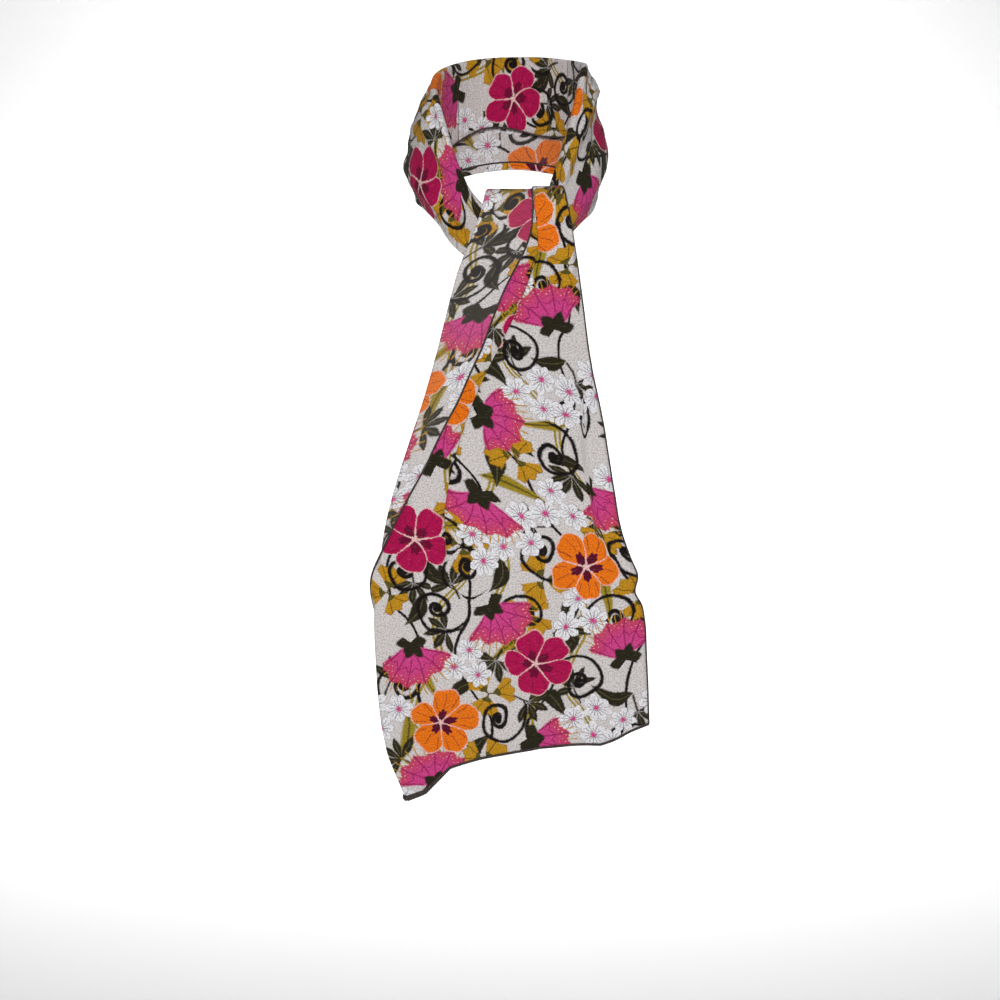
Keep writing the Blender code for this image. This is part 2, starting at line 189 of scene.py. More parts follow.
BAND_ROWS = WRAP_ROWS + NECK_ROWS
# Rows where one stretch of the band ends and the next begins.
WRAP_END = len(WRAP_ROWS)
LEFT_END = WRAP_END + 6
BACK_END = WRAP_END + 10
BAND_END = len(BAND_ROWS) - 1

# Soft ridges and troughs that run along the band's outer side: the rows between which each
# lies, its share of the way from the top fold to the lower edge at either end, its width in
# millimetres and its depth, below zero for a trough.
Gather = namedtuple("Gather", "row to_row share to_share width depth")
BAND_GATHERS = [
    Gather(8.8, 13.5, 0.12, 0.26, 3.4, -2.0),
    Gather(8.6, 12.4, 0.28, 0.45, 3.2, 2.0),
    Gather(9.0, 14.5, 0.60, 0.72, 4.0, -2.6),
    Gather(8.8, 11.6, 0.74, 0.88, 3.0, 1.8),
    Gather(10.2, 14.2, 0.44, 0.60, 3.0, 1.8),
    Gather(11.0, 16.5, 0.85, 0.80, 3.4, -1.8),
    Gather(12.5, 18.0, 0.16, 0.24, 4.0, 1.8),
    Gather(13.5, 19.5, 0.46, 0.38, 3.6, -1.8),
    Gather(15.0, 21.0, 0.66, 0.60, 4.0, 2.0),
    Gather(16.0, 20.5, 0.80, 0.88, 3.2, -1.6),
    Gather(17.5, 22.5, 0.12, 0.20, 3.4, -2.2),
    Gather(19.0, 23.6, 0.34, 0.24, 3.2, 2.2),
    Gather(20.0, 24.0, 0.56, 0.66, 3.6, -2.4),
    Gather(20.5, 24.0, 0.80, 0.84, 3.0, 1.8),
    Gather(0.5, 7.5, 0.30, 0.40, 2.2, -0.7),
    Gather(3.0, 7.4, 0.66, 0.76, 2.6, 0.5),
]


def smooth_through(rows, places):
    """Catmull-Rom curve through evenly numbered rows, read at fractional row places."""
    rows = np.asarray(rows, dtype=float)
    padded = np.vstack([2 * rows[0] - rows[1], rows, 2 * rows[-1] - rows[-2]])
    start = np.minimum(places.astype(int), len(rows) - 2)
    t = (places - start)[:, None]
    before, here, after, beyond = (padded[start + k] for k in range(4))
    return 0.5 * (
        2 * here
        + (after - before) * t
        + (2 * before - 5 * here + 4 * after - beyond) * t**2
        + (3 * here - before - 3 * after + beyond) * t**3
    )


def outer_lines(knots, steps=9):
    """Lines down the outer side through rows of knots, upright at both ends: cubic Hermite
    spans whose tangents weigh the chords on either side by each other's length."""
    chords = np.diff(knots, axis=1)
    lengths = np.linalg.norm(chords, axis=2, keepdims=True)
    ways = chords / lengths
    inner = ways[:, :-1] * lengths[:, 1:] + ways[:, 1:] * lengths[:, :-1]
    inner /= lengths[:, :-1] + lengths[:, 1:]
    down = np.broadcast_to((0.0, -1.0), inner[:, :1].shape)
    ways = np.concatenate([down, inner, down], axis=1)
    t = (np.arange(1, steps + 1) / steps)[:, None]
    line = (
        (2 * t**3 - 3 * t**2 + 1) * knots[:, :-1, None]
        + (t**3 - 2 * t**2 + t) * (lengths * ways[:, :-1])[:, :, None]
        + (3 * t**2 - 2 * t**3) * knots[:, 1:, None]
        + (t**3 - t**2) * (lengths * ways[:, 1:])[:, :, None]
    )
    return line.reshape(len(knots), -1, 2)


def band_sections(rows):
    """Open lines of the folded band in (out, up), one for each row, and where on each line
    the outer side begins and ends."""
    row = LoopRow(*rows.T)
    height = row.top_up - row.hem_up
    top_radius = 0.5 * np.minimum(row.upper_out - row.inner_out, TOP_FOLD)
    half_turn = np.radians(np.linspace(180, 0, 9))
    half_circle = np.column_stack([np.cos(half_turn), np.sin(half_turn)])
    top_centre = np.column_stack([row.inner_out + top_radius, row.top_up - top_radius])
    hem_centre = np.column_stack([row.hem_out - HEM_RADIUS, row.hem_up + HEM_RADIUS])
    top_fold = top_centre[:, None] + top_radius[:, None, None] * half_circle
    hem_fold = hem_centre[:, None] - HEM_RADIUS * half_circle
    knots = np.stack([
        top_fold[:, -1],
        np.column_stack([row.upper_out, np.minimum(row.upper_up, top_fold[:, -1, 1] - 1.0)]),
        np.column_stack([row.groove_out, row.groove_up]),
        np.column_stack([row.belly_out, row.belly_up]),
        hem_fold[:, 0],
    ], axis=1)
    share = INNER_SHARE + EDGE_SWAY * np.sin(EDGE_SWAY_STEP * np.arange(len(rows)))
    inner_up = np.linspace(row.hem_up + share * height, top_fold[:, 0, 1], 15, axis=1)[:, :-1]
    inner = np.stack([np.broadcast_to(row.inner_out[:, None], inner_up.shape), inner_up], axis=2)
    tuck_up = np.linspace(hem_fold[:, -1, 1], row.hem_up + TUCK, 4, axis=1)[:, 1:]
    tuck = np.stack([np.broadcast_to(hem_fold[:, -1:, 0], tuck_up.shape), tuck_up], axis=2)
    outer = outer_lines(knots)
    lines = np.concatenate([inner, top_fold, outer, hem_fold[:, 1:], tuck], axis=1)
    first = inner.shape[1] + top_fold.shape[1] - 1
    return lines, first, first + outer.shape[1]


def run_length(points, axis):
    """Distance along a grid of points from its start, down one of its axes."""
    steps = np.linalg.norm(np.diff(points, axis=axis), axis=-1)
    start = np.zeros_like(steps.take([0], axis=axis))
    return np.concatenate([start, np.cumsum(steps, axis=axis)], axis=axis)


def band_grid(rows, places, gathers):
    """Middle surface of a folded stretch in millimetres, with the print's place on it: across
    the strip by the length run along the section, and along the strip by the length run down
    its belly."""
    between = smooth_through(rows, places)
    lines, first, last = band_sections(between)
    share = np.clip((np.arange(lines.shape[1]) - first) / (last - first), 0, 1)
    width = run_length(lines, 1)
    outer_width = (width[:, last] - width[:, first])[:, None]
    on_outside = np.sin(np.pi * share) ** 0.35
    relief = np.zeros(width.shape)
    for gather in gathers:
        way = np.clip((places - gather.row) / (gather.to_row - gather.row), 0, 1)[:, None]
        middle = gather.share + (gather.to_share - gather.share) * way
        off = (share - middle) * outer_width / gather.width
        relief += gather.depth * np.sin(np.pi * way) ** 0.8 * np.exp(-off * off)
    out = lines[:, :, :1] + (relief * on_outside)[:, :, None]
    up = lines[:, :, 1:]

    row = LoopRow(*between.T)
    facing = np.radians(row.facing)[:, None, None]
    lean = np.radians(row.lean)[:, None, None]
    outward = np.concatenate([-np.sin(facing), -np.cos(facing), 0 * facing], axis=2)
    across = np.concatenate([-np.cos(facing), np.sin(facing), 0 * facing], axis=2)
    upward = np.cos(lean) * np.array([0.0, 0.0, 1.0]) + np.sin(lean) * across
    origin = np.column_stack([row.x, row.y, row.z])[:, None]
    grid = origin + out * outward + up * upward

    belly = (first + last) // 2
    u = width - width[:, belly:belly + 1] + FACE_MIDDLE
    v = -np.broadcast_to(run_length(grid[:, belly:belly + 1], 0), u.shape)
    return grid, np.stack([u, v], axis=2)


def grid_normals(grid):
    """Unit normals of a grid of points: the cross product of its steps across and along."""
    normals = np.cross(np.gradient(grid, axis=1), np.gradient(grid, axis=0))
    return normals / np.linalg.norm(normals, axis=2, keepdims=True)


def cloth_mesh(name, grid, normals, place):
    """Closed thin shell: the middle surface moved half the cloth's thickness to either side,
    with a strip of faces along its four edges.  Both faces carry the same print, because the
    dye goes through, and "wrong_side" marks the paler one, towards which the normals point."""
    rows, columns = grid.shape[:2]
    offset = normals * CLOTH / 2
    points = np.concatenate([(grid + offset).reshape(-1, 3), (grid - offset).reshape(-1, 3)])
    number = np.arange(rows * columns).reshape(rows, columns)
    faces = np.stack([number[:-1, :-1], number[:-1, 1:], number[1:, 1:], number[1:, :-1]], axis=2)
    faces = faces.reshape(-1, 4)
    rim = np.concatenate([number[0, :-1], number[:-1, -1], number[-1, :0:-1], number[:0:-1, 0]])
    onward = np.roll(rim, -1)
    behind = rows * columns
    walls = np.column_stack([onward, rim, rim + behind, onward + behind])
    mesh = bpy.data.meshes.new(name)
    mesh.from_pydata(points * MM, [], np.concatenate([faces, faces[:, ::-1] + behind, walls]))
    mesh.shade_smooth()

    corner = np.empty(len(mesh.loops), dtype=np.int32)
    mesh.loops.foreach_get("vertex_index", corner)
    flat = np.tile(place.reshape(-1, 2), (2, 1)) * MM
    mesh.uv_layers.new(name="cloth").data.foreach_set("uv", flat[corner].astype(np.float32).ravel())
    side = np.repeat([1.0, 0.0], rows * columns).astype(np.float32)
    mesh.attributes.new("wrong_side", "FLOAT", "POINT").data.foreach_set("value", side)
    return mesh


def knit_piece(name, grid, normals, place, material):
    """One stretch of the cloth, standing for its CAD node."""
    piece = bpy.data.objects.new(name + "_cloth", cloth_mesh(name, grid, normals, place))
    piece.data.materials.append(material)
    bpy.context.scene.collection.objects.link(piece)
    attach(piece, "root")
    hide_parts(name)
    return piece


WALE = 0.9             # from one column of stitches to the next
COURSE = 0.8           # from one row of stitches to the next
# The print's repeat: across the strip and along it.
REPEAT_ACROSS = 212.0
REPEAT_ALONG = 250.0
# The print's sway off its repeat and the raggedness of its edges, with the size of each noise.
SWAY, SWAY_SCALE = 8.0, 0.04
RAGGED, RAGGED_SCALE = 1.4, 0.62


class Ink:
    """A socket of the cloth's shader.  Its operators add Math nodes."""

    tree = None

    def __init__(self, socket):
        self.socket = socket

    @classmethod
    def node(cls, kind, inputs=(), output=0, **settings):
        made = cls.tree.nodes.new(kind)
        for name, value in settings.items():
            setattr(made, name, value)
        for key, value in dict(inputs).items():
            if isinstance(value, Ink):
                cls.tree.links.new(value.socket, made.inputs[key])
            else:
                made.inputs[key].default_value = value
        return cls(made.outputs[output])

    def maths(self, operation, *others, clamp=False):
        return Ink.node("ShaderNodeMath", enumerate((self, *others)),
                        operation=operation, use_clamp=clamp)

    def __add__(self, other):
        return self.maths("ADD", other)

    __radd__ = __add__

    def __sub__(self, other):
        return self.maths("SUBTRACT", other)

    def __rsub__(self, other):
        return Ink.node("ShaderNodeMath", {0: other, 1: self}, operation="SUBTRACT")

    def __mul__(self, other):
        return self.maths("MULTIPLY", other)

    __rmul__ = __mul__

    def __truediv__(self, other):
        return self.maths("DIVIDE", other)

    def __abs__(self):
        return self.maths("ABSOLUTE")

    def sine(self):
        return self.maths("SINE")

    def low(self, other):
        return self.maths("MINIMUM", other)

    def high(self, other):
        return self.maths("MAXIMUM", other)

    def under(self, limit):
        return self.maths("LESS_THAN", limit)

    def over(self, limit):
        return self.maths("GREATER_THAN", limit)

    def fold(self, span):
        """The value folded back and forth between 0 and the span."""
        return self.maths("PINGPONG", span)

    def edge(self, sharp):
        """1 above zero and 0 below it, with a soft step that is narrower the sharper it is."""
        return self.maths("MULTIPLY_ADD", sharp, 0.5, clamp=True)

    def vector(self, operation, *others, output=0):
        return Ink.node("ShaderNodeVectorMath", enumerate((self, *others)), output,
                        operation=operation)


def painted(colour, mask, paint):
    """The colour with paint laid over it where the mask is 1."""
    return Ink.node("ShaderNodeMix", {0: mask, 6: colour, 7: paint}, 2, data_type="RGBA")


# One spot of a motif: its place in the repeat, in millimetres, and its turn in degrees.
Spot = namedtuple("Spot", "x y turn")


def nearest(place, size, spots):
    """Coordinates local to the nearest of a motif's spots, x, y and distance, in units of the
    motif's size."""
    half = np.array([REPEAT_ACROSS / 2, REPEAT_ALONG / 2, 1.0])
    best, least = None, None
    for spot in spots:
        middle = np.array([spot.x, spot.y, 0.0])
        wrapped = place.vector("WRAP", middle + half, middle - half)
        reach = wrapped.vector("DISTANCE", middle, output=1)
        chosen = (spot.x, spot.y, math.radians(spot.turn))
        if best is None:
            best, least = chosen, reach
            continue
        best = Ink.node("ShaderNodeMix", {0: reach.under(least), 4: best, 5: chosen}, 1,
                        data_type="VECTOR")
        least = reach.low(least)
    turn = Ink(Ink.node("ShaderNodeSeparateXYZ", {0: best}, 0).socket.node.outputs[2])
    offset = place.vector("SUBTRACT", best).vector("WRAP", half, -half)
    offset = Ink.node("ShaderNodeVectorRotate", {"Vector": offset, "Angle": 0 - turn},
                      rotation_type="Z_AXIS")
    offset = Ink.node("ShaderNodeVectorMath", {0: offset, "Scale": 1 / size}, operation="SCALE")
    x = Ink.node("ShaderNodeSeparateXYZ", {0: offset}, 0)
    y = Ink(x.socket.node.outputs[1])
    return x, y, least / size


def srgb(text):
    """Linear colour of a hexadecimal one."""
    parts = [int(text[k:k + 2], 16) / 255 for k in (0, 2, 4)]
    return (*[p / 12.92 if p <= 0.04045 else ((p + 0.055) / 1.055) ** 2.4 for p in parts], 1.0)


GROUND = srgb("DCD6D4")
ORANGE, MAROON, BLUSH = srgb("F57A12"), srgb("5E0A2C"), srgb("F4C8C4")
MAGENTA, WINE = srgb("B80F52"), srgb("740835")
PINK, CORAL, PLUM = srgb("D8468E"), srgb("CE4460"), srgb("8E1650")
WHITE, GREY_LINE = srgb("F0EFF3"), srgb("5A5054")
GOLD, GOLD_DARK, OLIVE, OLIVE_DARK = srgb("C8921E"), srgb("6A4E10"), srgb("A48C24"), srgb("5C5420")
LEAF, LEAF_RIB, SCROLL = srgb("2A2617"), srgb("565034"), srgb("15100F")
SHADE = srgb("8C8484")

PANSY, CARNATION, DAISY, BELL, SPRIG = 26.5, 36.0, 22.0, 20.0, 18.0
SCROLL_SIZE, GOLD_BLADE, DARK_LEAF = 9.0, 25.0, 15.0
ORANGE_PANSIES = [Spot(48, 36, 12), Spot(156, 158, 200)]
MAGENTA_PANSIES = [Spot(120, 84, 40), Spot(28, 178, -25)]
CARNATIONS = [Spot(82, 128, 215), Spot(186, 84, 15), Spot(96, 214, 150), Spot(186, 218, 195),
              Spot(24, 98, 190), Spot(112, 22, 245), Spot(44, 232, 20)]
DAISIES = [Spot(84, 172, 10), Spot(158, 36, 50), Spot(146, 202, 80), Spot(8, 218, 30),
           Spot(66, 82, 75), Spot(4, 44, 20), Spot(150, 120, 100), Spot(110, 188, 55),
           Spot(186, 26, 95)]
BELLS = [Spot(124, 150, 0), Spot(80, 6, 40), Spot(6, 138, 70), Spot(196, 134, 20),
         Spot(62, 204, 100), Spot(130, 240, 60), Spot(84, 58, 10), Spot(112, 122, 60),
         Spot(66, 172, 30), Spot(176, 182, 80)]
SPRIGS = [Spot(54, 146, 30), Spot(142, 112, 290), Spot(88, 84, 150), Spot(196, 44, 200),
          Spot(122, 190, 80), Spot(10, 70, 330), Spot(72, 240, 170), Spot(204, 182, 10),
          Spot(18, 8, 60), Spot(134, 6, 130), Spot(112, 52, 250), Spot(52, 108, 100),
          Spot(170, 190, 220), Spot(26, 144, 180), Spot(148, 62, 20), Spot(106, 100, 320),
          Spot(166, 224, 140)]
SCROLLS = [Spot(152, 66, 0), Spot(110, 122, 120), Spot(44, 126, 200), Spot(178, 118, 60),
           Spot(158, 240, 300), Spot(56, 178, 40), Spot(66, 158, 150), Spot(90, 38, 250),
           Spot(194, 14, 20), Spot(20, 66, 90), Spot(20, 152, 330), Spot(124, 170, 190),
           Spot(74, 228, 110), Spot(192, 166, 260)]
GOLD_BLADES = [Spot(100, 100, 60), Spot(34, 74, 130), Spot(172, 136, 100), Spot(70, 190, 20),
               Spot(124, 218, 150), Spot(22, 22, 80), Spot(190, 194, 40), Spot(164, 12, 10)]
DARK_LEAVES = [Spot(140, 94, 30), Spot(64, 64, 200), Spot(202, 108, 120), Spot(40, 154, 310),
               Spot(116, 232, 80), Spot(168, 236, 160), Spot(92, 150, 70), Spot(10, 196, 20),
               Spot(74, 16, 240), Spot(176, 56, 350), Spot(30, 122, 60), Spot(132, 54, 140)]
# Stems wind along the strip: place across, sway to either side, phase and width.
Stem = namedtuple("Stem", "across sway phase width")
DARK_STEMS = [Stem(22, 14, 0.3, 2.3), Stem(76, 16, 2.1, 2.6), Stem(132, 15, 4.0, 2.4),
              Stem(184, 13, 5.2, 2.3)]
GOLD_STEMS = [Stem(48, 17, 3.4, 1.9), Stem(106, 16, 0.9, 2.0), Stem(160, 15, 2.6, 1.9)]


def stems(colour, x, y, rows, paint, spread):
    """Stems: a slow wave with a quicker one on it.  A spread above zero draws two strokes."""
    for stem in rows:
        wave = (y * (2 * math.pi / REPEAT_ALONG) + stem.phase).sine() * stem.sway
        ripple = (y * (6 * math.pi / REPEAT_ALONG) + stem.phase * 2.3).sine() * (stem.sway * 0.4)
        off = (x - wave - ripple - stem.across).maths("WRAP", REPEAT_ACROSS / 2, -REPEAT_ACROSS / 2)
        off = abs(off)
        if spread:
            off = abs(off - spread)
        colour = painted(colour, (stem.width / 2 - off).edge(1.3), paint)
    return colour


def blades(colour, place, spots, size, breadth, paint, rib):
    """Pointed leaves: a parabola's width about a bowed midrib."""
    x, y, reach = nearest(place, size, spots)
    bowed = y - x * x * 0.3
    half = breadth * (1.0 - x * x) * (1.0 + x * 0.35)
    colour = painted(colour, (half - abs(bowed)).edge(14), paint)
    return painted(colour, (0.028 - abs(bowed)).edge(30) * half.over(0.05), rib)


def scrolls(colour, place, spots, paint):
    """Tendrils: the arm of a spiral whose radius grows by the same factor in each turn, from a
    round bud in its middle to a long open tail."""
    growth = math.log(3.0)
    x, y, reach = nearest(place, SCROLL_SIZE, spots)
    turn = y.maths("ARCTAN2", x) * (0.5 / math.pi)
    arm = (reach.maths("LOGARITHM", math.e) * (1 / growth) - turn).maths("FRACT") - 0.5
    line = (0.2 - reach * 0.03 - abs(arm) * growth * reach).edge(9) * reach.under(2.7)
    bud = (0.3 - reach).edge(9)
    return painted(colour, line.high(bud), paint)


def sprigs(colour, place, spots, paint, rib):
    """Fans of leaflets: six of them, 40 degrees apart, on a short stalk."""
    x, y, reach = nearest(place, SPRIG, spots)
    angle = x.maths("ARCTAN2", y)
    step = math.radians(42)
    off = ((angle / step).fold(0.5)) * step
    side = reach * off
    half = (reach * math.pi).sine() * (0.1 + reach * 0.11)
    fan = abs(angle).under(2.5 * step) * reach.under(1.0)
    stalk = (0.045 - abs(x)).edge(16) * y.under(0.0) * y.over(-0.75)
    colour = painted(colour, ((half - side).edge(16) * fan).high(stalk), paint)
    return painted(colour, (0.02 - side).edge(30) * reach.under(0.75) * reach.over(0.2) * fan, rib)


def third_off(x, y):
    """Angle from the middle of the nearest of three equal sectors."""
    third = 2 * math.pi / 3
    return ((y.maths("ARCTAN2", x) / third + 0.5).maths("FRACT") - 0.5) * third


def petals_off(angle, petals):
    """0 on the middle line of each petal, 1 between two."""
    return (angle * (petals / (2 * math.pi))).fold(0.5) * 2


def daisies(colour, place, spots):
    """Clusters of three white daisies with narrow petals, fine grey strokes between and along
    them and a ragged pink heart."""
    x, y, reach = nearest(place, DAISY, spots)
    sector = third_off(x, y)
    near_x = reach * sector.maths("COSINE") - 0.54
    near_y = reach * sector.sine()
    near = (near_x * near_x + near_y * near_y).maths("SQRT")
    angle = near_y.maths("ARCTAN2", near_x)
    off = petals_off(angle, 7)
    rim = 0.5 - off * off * 0.17
    colour = painted(colour, (rim + 0.012 - near).edge(45) * 0.7, GREY_LINE)
    colour = painted(colour, (rim - near).edge(50), WHITE)
    between = (0.013 - (1 - off) * near * 0.45).edge(60)
    along = (0.011 - off * near * 0.45).edge(60) * near.under(0.34)
    colour = painted(colour, between.high(along) * (rim - near).over(0.0) * 0.75, GREY_LINE)
    heart = 0.09 + (angle * 9).sine() * 0.04
    return painted(colour, (heart - near).edge(50), PINK)


def bells(colour, place, spots):
    """Clusters of three gold bells that flare to a scalloped rim, with dark strokes, a dark
    foot and a short stalk."""
    x, y, reach = nearest(place, BELL, spots)
    sector = third_off(x, y)
    side = abs(sector) * reach
    flare = (reach - 0.1) * 0.85
    rim = 0.98 - (sector * 2.2).fold(0.5) * 0.3
    colour = painted(colour, (0.03 - side).edge(30) * reach.under(0.4), OLIVE_DARK)
    bell = (flare - side).low(rim - reach).edge(24)
    colour = painted(colour, bell, GOLD)
    stroke = (0.018 - abs(side - flare * 0.5)).edge(50).high((0.022 - (rim - reach)).edge(40))
    colour = painted(colour, stroke * bell * 0.9, GOLD_DARK)
    return painted(colour, bell * reach.under(0.36), OLIVE_DARK)


def carnations(colour, place, spots):
    """Fan-shaped blooms: a dark cup, pink petals that turn coral and dotted towards a ragged
    rim, plum strokes and a fringe of fine gold ones."""
    x, y, reach = nearest(place, CARNATION, spots)
    angle = x.maths("ARCTAN2", y)
    spread = abs(angle)
    tooth = (angle * 2.4).fold(0.5)
    nick = (angle * 11.0).fold(0.5)
    rim = 0.84 + tooth * 0.2 + nick * 0.06 - angle * angle * 0.1
    side = (1.12 - spread) * reach
    stroke = (0.011 - (angle * 7.0).fold(0.5) * reach * 0.14).edge(70)
    fringe = stroke * (rim + 0.2 - reach).over(0.0) * spread.under(0.9) * reach.over(0.5)
    colour = painted(colour, fringe, GOLD)
    fan = (rim - reach).low(side).edge(28)
    tone = painted(PINK, ((reach - rim + 0.34) * 3.0).maths("ADD", 0.0, clamp=True), CORAL)
    colour = painted(colour, fan, tone)
    dots = ((angle * 31).sine() * (reach * 52 + angle * 7).sine()).over(0.84) * 0.75
    dotted = (rim - reach).under(0.17) * (rim - reach).over(0.04)
    colour = painted(colour, dots * dotted * fan, BLUSH)
    rays = (0.012 - (angle * 2.4 + 0.5).fold(0.5) * reach * 0.4).edge(60) * reach.over(0.32)
    scallop = (0.012 - abs(reach - 0.52 - tooth * 0.22)).edge(60)
    colour = painted(colour, rays.high(scallop) * fan * 0.85, PLUM)
    cup = 0.24 + (angle * 0.95).fold(0.5) * 0.26
    return painted(colour, (cup - reach).edge(24) * spread.under(2.2), LEAF)


def pansies(colour, place, spots, petals, paint, blotch):
    """Round blooms of broad petals: pale partings, fine dark veins, a blotch at the foot of
    each petal and a pale heart."""
    x, y, reach = nearest(place, PANSY, spots)
    angle = y.maths("ARCTAN2", x)
    off = petals_off(angle, petals)
    rim = 0.97 - off * off * off * 0.34 + (angle * 13).sine() * 0.018
    petal = (rim - reach).edge(28)
    colour = painted(colour, (rim + 0.03 - reach).edge(28), BLUSH)
    colour = painted(colour, petal, paint)
    vein = (0.009 - (angle * (petals * 3 / (2 * math.pi))).fold(0.5) * reach * 0.4).edge(60)
    colour = painted(colour, vein * reach.over(0.5) * reach.under(0.86) * petal * 0.8, blotch)
    foot = 0.44 - off * off * 0.34 + (angle * 21).sine() * 0.03
    colour = painted(colour, (foot - reach).edge(30), blotch)
    parting = (0.026 - reach * 0.024 - (1 - off) * reach * (math.pi / petals)).edge(40)
    colour = painted(colour, parting * petal, BLUSH)
    return painted(colour, (0.08 + (angle * 5).sine() * 0.03 - reach).edge(40), BLUSH)


def printed_cloth():
    """The knit's material: the print on a pale ground, broken up a little by the yarn, paler
    where it shows through on the wrong side, over fine courses, slubs and soft crinkles."""
    material = bpy.data.materials.new("printed_knit")
    material.use_nodes = True
    Ink.tree = material.node_tree
    shader = Ink.tree.nodes["Principled BSDF"]
    flat = Ink.node("ShaderNodeUVMap", uv_map="cloth")
    flat = Ink.node("ShaderNodeVectorMath", {0: flat, "Scale": 1 / MM}, operation="SCALE")
    wobble = Ink.node("ShaderNodeTexNoise", {"Vector": flat, "Scale": SWAY_SCALE, "Detail": 0.0}, 1)
    wobble = wobble.vector("SUBTRACT", (0.5, 0.5, 0.5)).vector("MULTIPLY", (SWAY, SWAY, 0.0))
    grain = Ink.node("ShaderNodeTexNoise",
                     {"Vector": flat, "Scale": RAGGED_SCALE, "Detail": 1.0}, 1)
    ragged = grain.vector("SUBTRACT", (0.5, 0.5, 0.5)).vector("MULTIPLY", (RAGGED, RAGGED, 0.0))
    place = flat.vector("ADD", wobble).vector("ADD", ragged)
    x = Ink.node("ShaderNodeSeparateXYZ", {0: place}, 0)
    y = Ink(x.socket.node.outputs[1])
    colour = GROUND
    colour = stems(colour, x, y, GOLD_STEMS, OLIVE, 1.7)
    colour = stems(colour, x, y, DARK_STEMS, SCROLL, 0)
    colour = blades(colour, place, GOLD_BLADES, GOLD_BLADE, 0.17, OLIVE, OLIVE_DARK)
    colour = blades(colour, place, DARK_LEAVES, DARK_LEAF, 0.36, LEAF, LEAF_RIB)
    colour = sprigs(colour, place, SPRIGS, LEAF, LEAF_RIB)
    colour = bells(colour, place, BELLS)
    colour = scrolls(colour, place, SCROLLS, SCROLL)
    colour = daisies(colour, place, DAISIES)
    colour = carnations(colour, place, CARNATIONS)
    colour = pansies(colour, place, MAGENTA_PANSIES, 5, MAGENTA, WINE)
    colour = pansies(colour, place, ORANGE_PANSIES, 5, ORANGE, MAROON)

    wide = flat.vector("MULTIPLY", (0.2, 0.9, 1.0))
    slub = Ink.node("ShaderNodeTexNoise", {"Vector": wide, "Scale": 1.0, "Detail": 3.0})
    yarn = Ink.node("ShaderNodeTexNoise", {"Vector": flat, "Scale": 0.9, "Detail": 2.0})
    bare = ((slub - 0.6) * 5.0).maths("ADD", 0.0, clamp=True) * 0.16
    colour = painted(colour, bare, GROUND)
    shaded = ((yarn - 0.42) * 4.0).maths("ADD", 0.0, clamp=True) * 0.6
    colour = Ink.node("ShaderNodeMix", {0: shaded, 6: colour, 7: SHADE}, 2, data_type="RGBA",
                      blend_type="MULTIPLY")
    side = Ink.node("ShaderNodeAttribute", {}, 2, attribute_name="wrong_side")
    colour = painted(colour, side * 0.05, GROUND)
    Ink.tree.links.new(colour.socket, shader.inputs["Base Color"])
    Ink.tree.links.new((0.86 + yarn * 0.12).socket, shader.inputs["Roughness"])
    shader.inputs["Specular IOR Level"].default_value = 0.15
    shader.inputs["Sheen Weight"].default_value = 0.05
    shader.inputs["Sheen Roughness"].default_value = 0.5

    u = Ink.node("ShaderNodeSeparateXYZ", {0: flat}, 0)
    v = Ink(u.socket.node.outputs[1])
    wales = abs((u * (math.pi / WALE)).sine())
    courses = (v * (2 * math.pi / COURSE) + wales * 2.2).sine()
    crinkle = Ink.node("ShaderNodeTexNoise",
                       {"Vector": flat.vector("MULTIPLY", (0.05, 0.16, 1.0)), "Scale": 1.0,
                        "Detail": 4.0, "Roughness": 0.62})
    height = crinkle * 1.6 + slub * 0.22 + wales * 0.06 + courses * 0.03
    bump = Ink.node("ShaderNodeBump", {"Height": height, "Distance": MM, "Strength": 0.8})
    Ink.tree.links.new(bump.socket, shader.inputs["Normal"])
    return material


printed_knit = printed_cloth()

band_places = np.linspace(0, BAND_END, BAND_END * STATIONS_PER_ROW + 1)
band_surface, band_print = band_grid(BAND_ROWS, band_places, BAND_GATHERS)
band_normals = grid_normals(band_surface)


def band_stretch(name, first_row, last_row):
    """The stretch of the band between two rows, its ends drawn in by a hair."""
    part = slice(first_row * STATIONS_PER_ROW, last_row * STATIONS_PER_ROW + 1)
    grid = band_surface[part].copy()
    grid[0] += 0.01 * (grid[1] - grid[0])
    grid[-1] += 0.01 * (grid[-2] - grid[-1])
    return knit_piece(name, grid, band_normals[part], band_print[part], printed_knit)


neck_left = band_stretch("neck_left", WRAP_END, LEFT_END)
neck_back = band_stretch("neck_back", LEFT_END, BACK_END)
neck_right = band_stretch("neck_right", BACK_END, BAND_END)

# Crossing.  The left side of the band goes on across the front, flatter and tighter, turns
# back round the riser on the right and ends behind it.
wrap = band_stretch("wrap", 0, WRAP_END)

